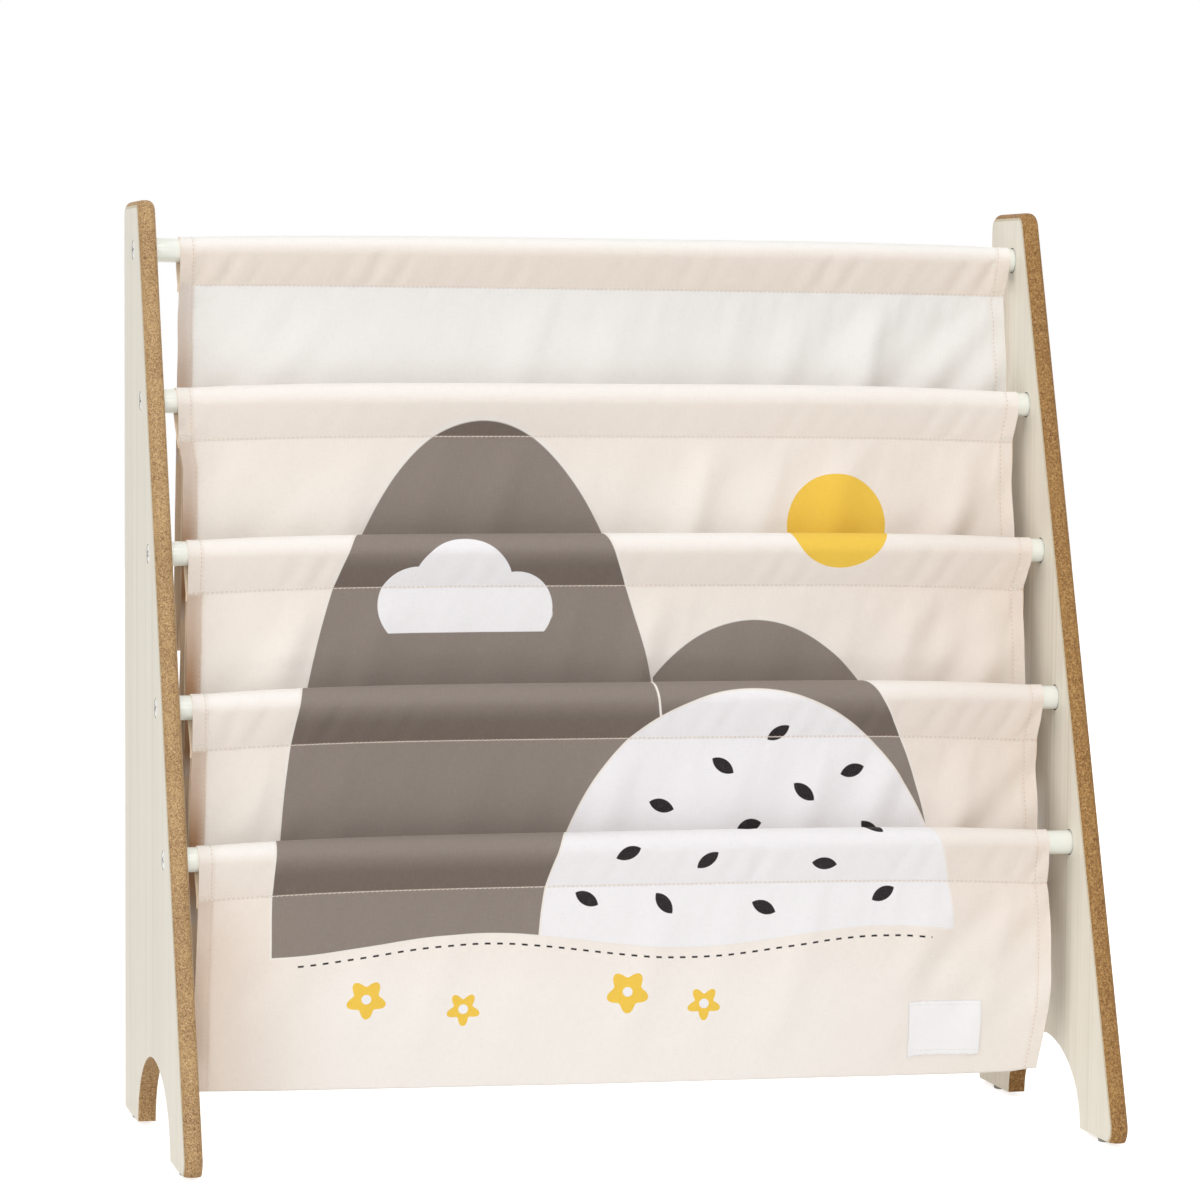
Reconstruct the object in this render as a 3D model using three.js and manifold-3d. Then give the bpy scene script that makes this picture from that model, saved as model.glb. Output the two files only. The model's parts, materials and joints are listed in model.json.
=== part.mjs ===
// A child's book rack: two side panels joined by five steel rods, and a canvas sling that hangs from the rods
// in four book pockets. Millimetres, +Z up, the front faces -Y, and the origin lies on the floor under the
// middle of the rack.
import * as THREE from "three";
import { mergeVertices } from "three/addons/utils/BufferGeometryUtils.js";
import Module from "manifold-3d";

// Side panels: fibreboard with a laminate on both faces
const panelHeight = 610;
const panelDepth = 280; // from the back edge to where the front edge's line meets the feet's plane
const panelTopDepth = 67;
const panelThickness = 12;
const innerWidth = 598; // between the panels
const edgeRound = 5; // the rounding that runs round the panel's outer edge on both faces
const cornerRound = 11;
const toeRound = 14;
const heelRound = 7;
const footDepth = 67;
const archHeight = 54;

// Rods: painted tubes that end in shallow sockets in the panels
const rodHeightShares = [0.309, 0.464, 0.624, 0.785, 0.947]; // of the panel's height, lowest rod first
const rodDiameter = 16;
const rodWall = 1.2;
const rodSetback = 31.5; // from the panel's front edge to the rod's axis
const socketDepth = 4;
const socketClearance = 0.6;

// Screws, and the threaded plugs in the rods' ends that they turn into
const screwHeadDiameter = 12;
const screwRim = 0.6;
const screwShankDiameter = 5;
const screwLength = 26;
const screwTaper = 1;
const screwSink = 0.2;
const recessWidth = 1.5;
const recessSpan = 6.4;
const recessDepth = 2.4;
const plugLength = 22;

// Glides nailed under the feet
const glideDiameter = 10;
const glideHeight = 3;
const glideEdge = 0.8;
const glidePinDiameter = 3;
const glidePinLength = 12;

// Canvas sling
const clothThickness = 0.9;
const clothSideGap = 11; // bare rod at each end
const seamDrop = 25; // from a rod's axis down to the seam under it
const sleeveSlack = 3; // how far the sleeve stands over the rod at mid span
const pocketDrop = 164; // from a rod's axis down to the bottom of the pocket behind it
const pocketBend = 60; // height of the pocket's curved bottom
const foldDepth = 2.2;
const foldRise = 60; // depth below a seam at which the folds are full
const layerParting = 3; // what the two layers under one seam hang apart
const frontDrop = 153; // from the lowest rod's axis down to the seam along the front panel's bottom
const frontLean = 6; // how far its bottom seam lies behind its top seam
const frontBelly = 3;
const foldWaves = [2.5, 3, 2, 2.5, 3]; // folds across the cloth under each rod
const foldPhaseShares = [0.1, 0.35, 0.6, 0.2, 0.8];

// Blank woven patch on the front panel
const patchWidth = 51;
const patchHeight = 37;
const patchThickness = 0.6;
const patchFromEdge = 50;
const patchFromSeam = 12; // above the front panel's bottom seam

// Clearances
const fitGap = 0.3; // between pieces that rest on or fit in each other
const overrun = 1; // how far a cutting shape runs past the face that it opens

const roundSteps = 20; // sides of a round piece
const frontSlope = (panelDepth - panelTopDepth) / panelHeight;
const slopeAngle = Math.atan(frontSlope);
// The toe's arc ends the sloping front edge a little short of panelDepth
const overallDepth =
  panelDepth - frontSlope * (toeRound - edgeRound) - toeRound * (1 / Math.cos(slopeAngle) - 1);
const backEdge = overallDepth / 2;
const frontEdgeAt = (z) => backEdge - panelDepth + frontSlope * z;
const outerFace = innerWidth / 2 + panelThickness;
const rodRadius = rodDiameter / 2;
const rodLength = innerWidth + 2 * (socketDepth - fitGap);
const clothWidth = innerWidth - 2 * clothSideGap;
const clothRadius = rodRadius + fitGap + clothThickness / 2;
const seamOffset = (clothThickness + fitGap) / 2; // from a seam's plane to the middle of either of its layers
const rods = rodHeightShares.map((share) => {
  const z = panelHeight * share;
  return { y: frontEdgeAt(z) + rodSetback, z };
});

const finish = (color, roughness, metalness = 0) =>
  new THREE.MeshStandardMaterial({ color, roughness, metalness });
const panelFinish = () => finish("#e4dfd2", 0.55);
const rodFinish = () => finish("#f1f1ea", 0.25, 0.1);
const screwFinish = () => finish("#eeeeea", 0.35, 0.3);
const plugFinish = () => finish("#3c3c3c", 0.6);
const glideFinish = () => finish("#b9bab6", 0.5);
const canvasFinish = () => finish("#f2e4dc", 0.9);
const patchFinish = () => finish("#fbfbfb", 0.85);

const wasm = await Module();
wasm.setup();

function solidOf(geometry) {
  geometry.deleteAttribute("normal");
  geometry.deleteAttribute("uv");
  const merged = mergeVertices(geometry);
  return new wasm.Manifold(
    new wasm.Mesh({
      numProp: 3,
      vertProperties: merged.attributes.position.array,
      triVerts: new Uint32Array(merged.index.array),
    }),
  );
}

function geometryOf(solid) {
  const { vertProperties, triVerts } = solid.getMesh();
  const geometry = new THREE.BufferGeometry();
  geometry.setAttribute("position", new THREE.BufferAttribute(vertProperties, 3));
  geometry.setIndex(new THREE.BufferAttribute(triVerts, 1));
  geometry.computeVertexNormals();
  return geometry;
}

// Turns a shape drawn in Y and Z and extruded along its own Z into one that runs along X from the given place
function alongX(geometry, x) {
  const axes = new THREE.Matrix4().makeBasis(
    new THREE.Vector3(0, 1, 0),
    new THREE.Vector3(0, 0, 1),
    new THREE.Vector3(1, 0, 0),
  );
  return geometry.applyMatrix4(axes).translate(x, 0, 0);
}

// A turned piece whose axis runs along X: the profile's second coordinate is the place along X
const turnedAlongX = (profile) => new THREE.LatheGeometry(profile, roundSteps).rotateZ(-Math.PI / 2);

const points = (pairs) => pairs.map(([x, y]) => new THREE.Vector2(x, y));

// An outline through corners in counterclockwise order, each with its own rounding
function roundedOutline(corners) {
  const outline = new THREE.Shape();
  corners.forEach(({ at, radius }, i) => {
    const toLast = corners.at(i - 1).at.clone().sub(at).normalize();
    const toNext = corners[(i + 1) % corners.length].at.clone().sub(at).normalize();
    const half = Math.acos(toLast.dot(toNext)) / 2;
    const inward = toLast.clone().add(toNext).normalize();
    const centre = inward.multiplyScalar(radius / Math.sin(half)).add(at);
    const from = toLast.multiplyScalar(radius / Math.tan(half)).add(at).sub(centre);
    const to = toNext.multiplyScalar(radius / Math.tan(half)).add(at).sub(centre);
    outline.absarc(centre.x, centre.y, radius, from.angle(), to.angle(), false);
  });
  return outline;
}

// The screw's profile from its tip to its face, made wider all round by gap for the hole that takes it
function screwProfile(gap) {
  const head = screwHeadDiameter / 2 + gap;
  const shank = screwShankDiameter / 2 + gap;
  const face = outerFace - screwSink;
  const tip = face - screwLength;
  return points([
    [0, tip],
    [shank - screwTaper, tip],
    [shank, tip + screwTaper],
    [shank, face - screwRim - (head - shank) - gap],
    [head, face - screwRim - gap],
    [head, face + (gap ? overrun : 0)],
    [0, face + (gap ? overrun : 0)],
  ]);
}

// The right panel, with its feet's plane at z = 0
function sidePanel() {
  const outline = roundedOutline([
    { at: new THREE.Vector2(frontEdgeAt(-edgeRound), -edgeRound), radius: toeRound },
    { at: new THREE.Vector2(backEdge, -edgeRound), radius: heelRound },
    { at: new THREE.Vector2(backEdge, panelHeight), radius: cornerRound },
    { at: new THREE.Vector2(frontEdgeAt(panelHeight), panelHeight), radius: cornerRound },
  ]);
  const slab = new THREE.ExtrudeGeometry(outline, {
    depth: panelThickness - 2 * edgeRound,
    curveSegments: 5,
    bevelThickness: edgeRound,
    bevelSize: edgeRound,
    bevelOffset: -edgeRound,
    bevelSegments: 2,
  });
  let solid = solidOf(alongX(slab, innerWidth / 2 + edgeRound));

  // The feet are cut square, with an arch between them
  const archWidth = panelDepth - 2 * footDepth;
  const archMiddle = backEdge - footDepth - archWidth / 2;
  const opening = new THREE.Shape();
  opening.moveTo(archMiddle - archWidth / 2, -edgeRound - overrun);
  opening.lineTo(archMiddle + archWidth / 2, -edgeRound - overrun);
  opening.absellipse(archMiddle, 0, archWidth / 2, archHeight, 0, Math.PI, false);
  const through = panelThickness + 2 * overrun;
  const cut = { depth: through, bevelEnabled: false, curveSegments: 16 };
  const arch = new THREE.ExtrudeGeometry(opening, cut);
  solid = solid.subtract(solidOf(alongX(arch, innerWidth / 2 - overrun)));
  const below = new THREE.BoxGeometry(through, panelDepth + toeRound, edgeRound + overrun);
  below.translate(innerWidth / 2 + panelThickness / 2, 0, -(edgeRound + overrun) / 2);
  solid = solid.subtract(solidOf(below));

  for (const { y, z } of rods) {
    const socketRadius = rodRadius + socketClearance;
    const socket = new THREE.CylinderGeometry(socketRadius, socketRadius, socketDepth + overrun, roundSteps);
    socket.rotateZ(Math.PI / 2);
    socket.translate(innerWidth / 2 + (socketDepth - overrun) / 2, y, z);
    solid = solid.subtract(solidOf(socket));
    solid = solid.subtract(solidOf(turnedAlongX(screwProfile(fitGap)).translate(0, y, z)));
  }
  for (const y of footMiddles()) {
    const radius = glidePinDiameter / 2 + fitGap;
    const hole = new THREE.CylinderGeometry(radius, radius, glidePinLength + fitGap + overrun, roundSteps);
    hole.rotateX(Math.PI / 2);
    hole.translate(innerWidth / 2 + panelThickness / 2, y, (glidePinLength + fitGap - overrun) / 2);
    solid = solid.subtract(solidOf(hole));
  }
  return geometryOf(solid);
}

const footMiddles = () => [backEdge - footDepth / 2, backEdge - panelDepth + footDepth / 2];

// A tube's profile, closed on itself
const tubeProfile = (inner, outer, from, to) =>
  points([
    [inner, from],
    [outer, from],
    [outer, to],
    [inner, to],
    [inner, from],
  ]);

const rodTube = () => turnedAlongX(tubeProfile(rodRadius - rodWall, rodRadius, -rodLength / 2, rodLength / 2));

function threadedPlug() {
  const bore = screwShankDiameter / 2 + fitGap;
  const end = rodLength / 2;
  return turnedAlongX(tubeProfile(bore, rodRadius - rodWall - fitGap, end - plugLength, end));
}

// A countersunk screw with a cross recess
function screw() {
  let solid = solidOf(turnedAlongX(screwProfile(0)));
  for (const [high, deep] of [
    [recessSpan, recessWidth],
    [recessWidth, recessSpan],
  ]) {
    const slot = new THREE.BoxGeometry(recessDepth + overrun, deep, high);
    slot.translate(outerFace - screwSink - (recessDepth - overrun) / 2, 0, 0);
    solid = solid.subtract(solidOf(slot));
  }
  return geometryOf(solid);
}

// A button with rounded edges whose pin goes up into the foot, from the floor at -glideHeight
function glide() {
  const radius = glideDiameter / 2;
  const pin = glidePinDiameter / 2;
  const profile = points([
    [0, -glideHeight],
    [radius - glideEdge, -glideHeight],
    [radius, glideEdge - glideHeight],
    [radius, -fitGap - glideEdge],
    [radius - glideEdge, -fitGap],
    [pin, -fitGap],
    [pin, glidePinLength],
    [0, glidePinLength],
  ]);
  return new THREE.LatheGeometry(profile, roundSteps).rotateX(Math.PI / 2);
}

// A sheet of cloth as one closed solid. lineAt gives its middle line at a place along X, as points in Y and Z.
function sheet(stations, lineAt, thickness) {
  const lines = stations.map(lineAt);
  const count = lines[0].length;
  const positions = [];
  lines.forEach((line, s) =>
    line.forEach((point, i) => {
      const along = line[Math.min(i + 1, count - 1)].clone().sub(line[Math.max(i - 1, 0)]).normalize();
      for (const side of [thickness / 2, -thickness / 2])
        positions.push(stations[s], point.x - along.y * side, point.y + along.x * side);
    }),
  );
  const index = [];
  const quad = (a, b, c, d) => index.push(a, b, c, a, c, d);
  const at = (s, i, face) => 2 * (s * count + i) + face;
  const lastStation = stations.length - 1;
  for (let s = 0; s < lastStation; s++) {
    for (let i = 0; i < count - 1; i++) {
      quad(at(s, i, 0), at(s + 1, i, 0), at(s + 1, i + 1, 0), at(s, i + 1, 0));
      quad(at(s, i, 1), at(s, i + 1, 1), at(s + 1, i + 1, 1), at(s + 1, i, 1));
    }
    quad(at(s, 0, 0), at(s, 0, 1), at(s + 1, 0, 1), at(s + 1, 0, 0));
    quad(at(s, count - 1, 0), at(s + 1, count - 1, 0), at(s + 1, count - 1, 1), at(s, count - 1, 1));
  }
  for (let i = 0; i < count - 1; i++) {
    quad(at(0, i, 0), at(0, i + 1, 0), at(0, i + 1, 1), at(0, i, 1));
    quad(
      at(lastStation, i, 0),
      at(lastStation, i, 1),
      at(lastStation, i + 1, 1),
      at(lastStation, i + 1, 0),
    );
  }
  const geometry = new THREE.BufferGeometry();
  geometry.setAttribute("position", new THREE.Float32BufferAttribute(positions, 3));
  geometry.setIndex(index);
  geometry.computeVertexNormals();
  return geometry;
}

// Evenly spaced values from one end to the other
const spaced = (from, to, steps) =>
  Array.from({ length: steps + 1 }, (_, i) => THREE.MathUtils.lerp(from, to, i / steps));

// Every layer of cloth has its folds at the same stations, and the patch spans two of them
const patchRight = clothWidth / 2 - patchFromEdge;
const patchLeft = patchRight - patchWidth;
const clothStations = [
  ...spaced(-clothWidth / 2, patchLeft, 9),
  ...spaced(patchRight, clothWidth / 2, 1),
];

// How far back the folds under rod k push the cloth at x, at a depth below the seam: a wave that grows with depth
const foldAt = (k, x, depth) =>
  foldDepth *
  THREE.MathUtils.smoothstep(depth, 0, foldRise) *
  Math.sin(2 * Math.PI * (foldWaves[k] * (x / clothWidth) + foldPhaseShares[k]));

const seamHeight = (k) => rods[k].z - seamDrop;
const pocketFloor = (k) => rods[k].z - pocketDrop;
const pocketMiddle = (k) => (rods[k].y + rods[k + 1].y) / 2;

// The layers that hang from the seam under rod k: one behind the seam's plane and one in front of it
const backLayer = (k, x, z) => rods[k].y + seamOffset + foldAt(k, x, seamHeight(k) - z);
const frontLayer = (k, x, z) => {
  const depth = seamHeight(k) - z;
  const parting = layerParting * THREE.MathUtils.smoothstep(depth, 0, foldRise);
  return rods[k].y - seamOffset - parting + foldAt(k, x, depth);
};

// The sleeve: up behind the rod from the seam, round it in an arc, and down in front to the seam again. At mid
// span it is slack: its arc is wider than the rod and rests on it no longer.
function sleeveLine(k, x) {
  const rise = (sleeveSlack / 2) * (1 - (2 * (x / clothWidth)) ** 4);
  const radius = clothRadius + rise;
  const reach = Math.hypot(seamOffset, seamDrop + rise);
  const start = Math.acos(radius / reach) - Math.acos(seamOffset / reach);
  const arc = new THREE.EllipseCurve(0, rise, radius, radius, start, Math.PI - start);
  const line = [
    new THREE.Vector2(seamOffset, -seamDrop),
    ...arc.getPoints(9),
    new THREE.Vector2(-seamOffset, -seamDrop),
  ];
  return line.map((point) => point.add(new THREE.Vector2(rods[k].y, rods[k].z)));
}

// A pocket that hangs behind rod k: down from that rod's seam, round a curved bottom, and up to the next one's
function pocketLine(k, x) {
  const floor = pocketFloor(k);
  const bendTop = floor + pocketBend;
  const middle = pocketMiddle(k);
  const front = spaced(seamHeight(k) - fitGap, bendTop, 3).map((z) => [backLayer(k, x, z), z]);
  const back = spaced(bendTop, seamHeight(k + 1) - fitGap, 4).map((z) => [frontLayer(k + 1, x, z), z]);
  const frontHalf = middle - front.at(-1)[0];
  const backHalf = back[0][0] - middle;
  const bend = spaced(0, Math.PI, 12)
    .slice(1, -1)
    .map((turn) => [
      middle - (turn < Math.PI / 2 ? frontHalf : backHalf) * Math.cos(turn),
      bendTop - pocketBend * Math.sin(turn),
    ]);
  return points([...front, ...bend, ...back]);
}

// The front panel is the front wall of the lowest pocket. It hangs from the first seam and leans back to the
// bottom seam, where its folds have died out.
const bottomSeam = rods[0].z - frontDrop;
const patchFoot = bottomSeam + patchFromSeam;
const patchHeights = spaced(patchFoot + patchHeight, patchFoot, 3);

function frontPanelFace(x, z) {
  const share = (seamHeight(0) - z) / (seamHeight(0) - bottomSeam);
  const lean = frontLean * share ** 2;
  const fold = foldAt(0, x, seamHeight(0) - z) * (1 - share ** 4);
  return rods[0].y - seamOffset + lean - frontBelly * Math.sin(Math.PI * share) + fold;
}

function frontPanelLine(x) {
  const above = spaced(seamHeight(0) - fitGap, patchHeights[0], 4).slice(0, -1);
  const below = spaced(patchFoot, bottomSeam, 2).slice(1);
  return points([...above, ...patchHeights, ...below].map((z) => [frontPanelFace(x, z), z]));
}

// The lowest pocket's back wall: from the front panel's inner face at the bottom seam up to the second seam
function lowestPocketLine(x) {
  const [before, last] = frontPanelLine(x).slice(-2);
  const along = last.clone().sub(before).normalize();
  const foot = last.clone().add(new THREE.Vector2(-along.y, along.x).multiplyScalar(2 * seamOffset));
  const bendTop = foot.y + pocketBend;
  const bend = spaced(0, 1, 5).map((share) => {
    const z = THREE.MathUtils.lerp(foot.y, bendTop, share);
    return [THREE.MathUtils.lerp(foot.x, frontLayer(1, x, z), Math.sin((Math.PI / 2) * share)), z];
  });
  const wall = spaced(bendTop, seamHeight(1) - fitGap, 6).map((z) => [frontLayer(1, x, z), z]);
  return points([...bend, ...wall.slice(1)]);
}

// The patch lies on the front panel's outer face
function patchLine(x) {
  const lift = (clothThickness + patchThickness) / 2 + fitGap;
  const line = points(patchHeights.map((z) => [frontPanelFace(x, z), z]));
  return line.map((point, i) => {
    const along = line[Math.min(i + 1, line.length - 1)].clone().sub(line[Math.max(i - 1, 0)]).normalize();
    return new THREE.Vector2(point.x + along.y * lift, point.y - along.x * lift);
  });
}

const rack = new THREE.Group();
rack.position.z = glideHeight;

function add(name, geometry, material, x = 0, y = 0, z = 0) {
  const mesh = new THREE.Mesh(geometry, material);
  mesh.name = name;
  mesh.position.set(x, y, z);
  rack.add(mesh);
  return mesh;
}

for (const [side, mirror] of [
  ["left", -1],
  ["right", 1],
]) {
  add(side + "_side_panel", sidePanel(), panelFinish()).scale.x = mirror;
  rods.forEach(({ y, z }, k) => {
    add(`${side}_plug_${k + 1}`, threadedPlug(), plugFinish(), 0, y, z).scale.x = mirror;
    add(`${side}_screw_${k + 1}`, screw(), screwFinish(), 0, y, z).scale.x = mirror;
  });
  footMiddles().forEach((y, i) => {
    const name = `${side}_${["back", "front"][i]}_glide`;
    add(name, glide(), glideFinish(), mirror * (innerWidth / 2 + panelThickness / 2), y);
  });
}

rods.forEach(({ y, z }, k) => {
  add(`rod_${k + 1}`, rodTube(), rodFinish(), 0, y, z);
  const sleeve = sheet(clothStations, (x) => sleeveLine(k, x), clothThickness);
  add(`sleeve_${k + 1}`, sleeve, canvasFinish());
});
add("front_panel", sheet(clothStations, frontPanelLine, clothThickness), canvasFinish());
add("pocket_1", sheet(clothStations, lowestPocketLine, clothThickness), canvasFinish());
for (let k = 1; k < rods.length - 1; k++)
  add(`pocket_${k + 1}`, sheet(clothStations, (x) => pocketLine(k, x), clothThickness), canvasFinish());
add("blank_patch", sheet([patchLeft, patchRight], patchLine, patchThickness), patchFinish());

export default rack;
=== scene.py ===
import functools
import json

import bmesh
import bpy
import numpy as np
from mathutils import Matrix, Vector
from mathutils.geometry import tessellate_polygon

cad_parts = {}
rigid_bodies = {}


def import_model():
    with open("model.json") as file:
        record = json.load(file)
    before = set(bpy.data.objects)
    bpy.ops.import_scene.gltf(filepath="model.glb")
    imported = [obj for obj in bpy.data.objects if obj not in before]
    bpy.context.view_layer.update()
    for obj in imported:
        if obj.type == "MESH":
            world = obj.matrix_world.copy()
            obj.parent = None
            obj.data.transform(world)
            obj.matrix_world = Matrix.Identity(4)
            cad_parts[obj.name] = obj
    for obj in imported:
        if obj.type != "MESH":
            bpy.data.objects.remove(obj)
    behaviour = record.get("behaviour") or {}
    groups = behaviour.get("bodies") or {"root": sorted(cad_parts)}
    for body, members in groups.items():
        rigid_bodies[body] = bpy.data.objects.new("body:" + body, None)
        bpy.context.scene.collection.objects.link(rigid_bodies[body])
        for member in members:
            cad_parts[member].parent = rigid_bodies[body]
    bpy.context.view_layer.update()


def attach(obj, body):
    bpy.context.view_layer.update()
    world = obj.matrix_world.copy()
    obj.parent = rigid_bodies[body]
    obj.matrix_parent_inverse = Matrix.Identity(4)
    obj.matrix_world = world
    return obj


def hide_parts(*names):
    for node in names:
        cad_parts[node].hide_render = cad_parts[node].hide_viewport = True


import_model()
print("frame loaded")

# Lengths are written in millimetres and turned into metres where a mesh is made
mm = 0.001

rack = {
    "panelHeight": 610, "panelDepth": 280, "panelTopDepth": 67, "panelThickness": 12,
    "innerWidth": 598, "glideHeight": 3,
    "rodShares": np.array([0.309, 0.464, 0.624, 0.785, 0.947]),  # of the panel's height, lowest rod first
    "rodSetback": 31.5,
}
slope = (rack["panelDepth"] - rack["panelTopDepth"]) / rack["panelHeight"]
innerFace = rack["innerWidth"] / 2
outerFace = innerFace + rack["panelThickness"]


def toLinear(red, green, blue):
    # a colour as a painter reads it from the screen, 0 to 255, as the shader wants it
    c = np.array([red, green, blue]) / 255
    c = np.where(c <= 0.04045, c / 12.92, ((c + 0.055) / 1.055) ** 2.4)
    return (*c.tolist(), 1.0)


def paints(**colors):
    return {name: toLinear(*color) for name, color in colors.items()}


class Wire:
    # a node's output that can stand in arithmetic; every sign adds one Math node
    def __init__(self, finish, socket):
        self.finish, self.socket = finish, socket

    def math(self, operation, *others, clamp=False):
        return self.finish.node("ShaderNodeMath", {"operation": operation, "use_clamp": clamp},
                                dict(enumerate([self, *others])))

    def __add__(self, other): return self.math("ADD", other)
    def __sub__(self, other): return self.math("SUBTRACT", other)
    def __mul__(self, other): return self.math("MULTIPLY", other)
    def __truediv__(self, other): return self.math("DIVIDE", other)
    def __pow__(self, other): return self.math("POWER", other)
    __radd__, __rmul__ = __add__, __mul__

    def __rsub__(self, other):
        return self.finish.node("ShaderNodeMath", {"operation": "SUBTRACT"}, {0: other, 1: self})

    def sin(self): return self.math("SINE")
    def size(self): return self.math("ABSOLUTE")
    def root(self): return self.math("SQRT")
    def lower(self, other): return self.math("MINIMUM", other)
    def higher(self, other): return self.math("MAXIMUM", other)
    def clipped(self): return self.math("ADD", 0, clamp=True)

    def step(self, start, end):
        # 0 at start, 1 at end, with a soft ramp between them
        return self.finish.node("ShaderNodeMapRange", {"interpolation_type": "SMOOTHSTEP"},
                                {"Value": self, "From Min": start, "From Max": end})


class Finish:
    # the nodes of one material, or of the world
    def __init__(self, name, world=None):
        self.holder = world or bpy.data.materials.new(name)
        self.holder.use_nodes = True
        self.tree = self.holder.node_tree
        self.tree.nodes.clear()
        self.output = self.tree.nodes.new("ShaderNodeOutputWorld" if world else "ShaderNodeOutputMaterial")

    def node(self, kind, settings=None, sockets=None, output=0):
        # settings are set first, then each socket gets a value or a link
        node = self.tree.nodes.new(kind)
        for key, value in (settings or {}).items():
            setattr(node, key, value)
        for key, value in (sockets or {}).items():
            if isinstance(value, Wire):
                self.tree.links.new(value.socket, node.inputs[key])
            else:
                node.inputs[key].default_value = value
        return Wire(self, node.outputs[output])

    def place(self):
        return self.node("ShaderNodeTexCoord", output="Object")

    def attribute(self, name):
        return self.node("ShaderNodeAttribute", {"attribute_name": name}, output="Vector")

    def parts(self, vector):
        split = self.node("ShaderNodeSeparateXYZ", sockets={0: vector})
        return [Wire(self, socket) for socket in split.socket.node.outputs]

    def flat(self, x, y):
        return self.node("ShaderNodeCombineXYZ", sockets={0: x, 1: y})

    def stretched(self, vector, x, y, z):
        return self.node("ShaderNodeVectorMath", {"operation": "MULTIPLY"}, {0: vector, 1: (x, y, z)})

    def noise(self, vector, scale, detail=2.0, roughness=0.5):
        if isinstance(scale, tuple):
            vector, scale = self.stretched(vector, *scale), 1.0
        return self.node("ShaderNodeTexNoise", sockets={"Vector": vector, "Scale": scale, "Detail": detail,
                                                        "Roughness": roughness})

    def chips(self, vector, scale):
        # a random value for each cell
        cells = self.node("ShaderNodeTexVoronoi", {"feature": "F1"}, {"Vector": vector, "Scale": scale}, output=1)
        return self.parts(cells)[0]

    def mix(self, factor, low, high, blend="MIX"):
        return self.node("ShaderNodeMix", {"data_type": "RGBA", "blend_type": blend}, {0: factor, 6: low, 7: high},
                         output=2)

    def layered(self, color, *layers):
        # each layer is how much of it shows and its colour, painted over the last
        for factor, paint in layers:
            color = self.mix(factor, color, paint)
        return color

    def bump(self, height, distance, strength=1.0):
        return self.node("ShaderNodeBump", sockets={"Height": height, "Distance": distance, "Strength": strength})

    def behindCamera(self):
        # 1 for what the camera and shiny surfaces see, 0 for the light that falls on the rack
        seen, mirrored = [self.node("ShaderNodeLightPath", output=f"Is {ray} Ray") for ray in ("Camera", "Glossy")]
        return seen.higher(mirrored)

    def show(self, shader):
        self.tree.links.new(shader.socket, self.output.inputs["Surface"])
        return self.holder

    def surface(self, **sockets):
        named = {key.replace("_", " "): value for key, value in sockets.items()}
        return self.show(self.node("ShaderNodeBsdfPrincipled", sockets=named))


def gridFaces(rows, columns, closed=False):
    # quads of a grid whose points are numbered row by row; the rows of a closed one are rings
    r, c = np.arange(rows - 1)[:, None] * columns, np.arange(columns if closed else columns - 1)[None, :]
    after = (c + 1) % columns
    return np.stack([r + c, r + columns + c, r + columns + after, r + after], axis=-1).reshape(-1, 4)


turnedOver = [0, 3, 2, 1]  # the order of a quad's corners that makes it face the other way


def circle(count):
    angle = np.linspace(0, 2 * np.pi, count + 1)[:-1]
    return np.stack([np.cos(angle), np.sin(angle)], axis=-1)


class Shell:
    # points and faces of a piece, gathered part by part, and for each face the number of its material
    def __init__(self, *parts):
        self.points, self.faces, self.kinds = np.zeros((0, 3)), [], []
        for part in parts:
            self.put(*part)

    def put(self, points, faces, kind=0):
        self.faces += [[i + len(self.points) for i in face] for face in faces]
        self.kinds += [kind] * len(faces)
        self.points = np.concatenate([self.points, points])


def sheetShell(outer, inner):
    # a closed sheet: the outer grid, the inner grid turned over, and a rim that joins their borders
    rows, columns = outer.shape[:2]
    front, shift = gridFaces(rows, columns), rows * columns
    index = np.arange(shift).reshape(rows, columns)
    border = np.concatenate([index[0], index[1:, -1], index[-1, -2::-1], index[-2:0:-1, 0]])
    following = np.roll(border, -1)
    rim = np.stack([border, border + shift, following + shift, following], axis=-1)
    vertices = np.concatenate([outer.reshape(-1, 3), inner.reshape(-1, 3)])
    return vertices, np.concatenate([front, front[:, ::-1] + shift, rim])


def inScene(name, data):
    thing = bpy.data.objects.new(name, data)
    bpy.context.scene.collection.objects.link(thing)
    return thing


def addPiece(name, vertices, faces, materials, slot, faceMaterial=None, replaces=(), attributes=None,
             sharp=35, merge=False):
    mesh = bpy.data.meshes.new(name)
    mesh.from_pydata((np.asarray(vertices, float) * mm).tolist(), [], [list(map(int, f)) for f in faces])
    for key, values in (attributes or {}).items():
        layer = mesh.attributes.new(key, "FLOAT_VECTOR", "POINT")
        layer.data.foreach_set("vector", np.asarray(values, np.float32).ravel())
    for material in materials:
        mesh.materials.append(material)
    if faceMaterial is not None:
        mesh.polygons.foreach_set("material_index", np.asarray(faceMaterial, np.int32))
    if merge:
        work = bmesh.new()
        work.from_mesh(mesh)
        bmesh.ops.remove_doubles(work, verts=work.verts, dist=2e-6)
        bmesh.ops.recalc_face_normals(work, faces=work.faces)
        work.to_mesh(mesh)
        work.free()
    mesh.shade_smooth()
    mesh.set_sharp_from_angle(angle=np.radians(sharp))
    mesh.update()
    piece = inScene(name, mesh)
    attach(piece, "root")
    if replaces:
        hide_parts(*replaces)
    return piece


def turned(profile, sides, y=0.0, z=0.0):
    # a profile of (radius, place along X) carried round an axis along X; radius 0 closes on itself after merging
    profile = np.asarray(profile, float)[:, None]
    rings = np.concatenate([np.repeat(profile[..., 1:], sides, 1), profile[..., :1] * circle(sides)], axis=-1)
    return rings.reshape(-1, 3) + [0, y, z], gridFaces(len(profile), sides, True)


def filled(loops):
    # the flat faces between an outer loop and the loops inside it
    return np.concatenate(loops), tessellate_polygon([[Vector((*p, 0)) for p in loop] for loop in loops])


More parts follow.
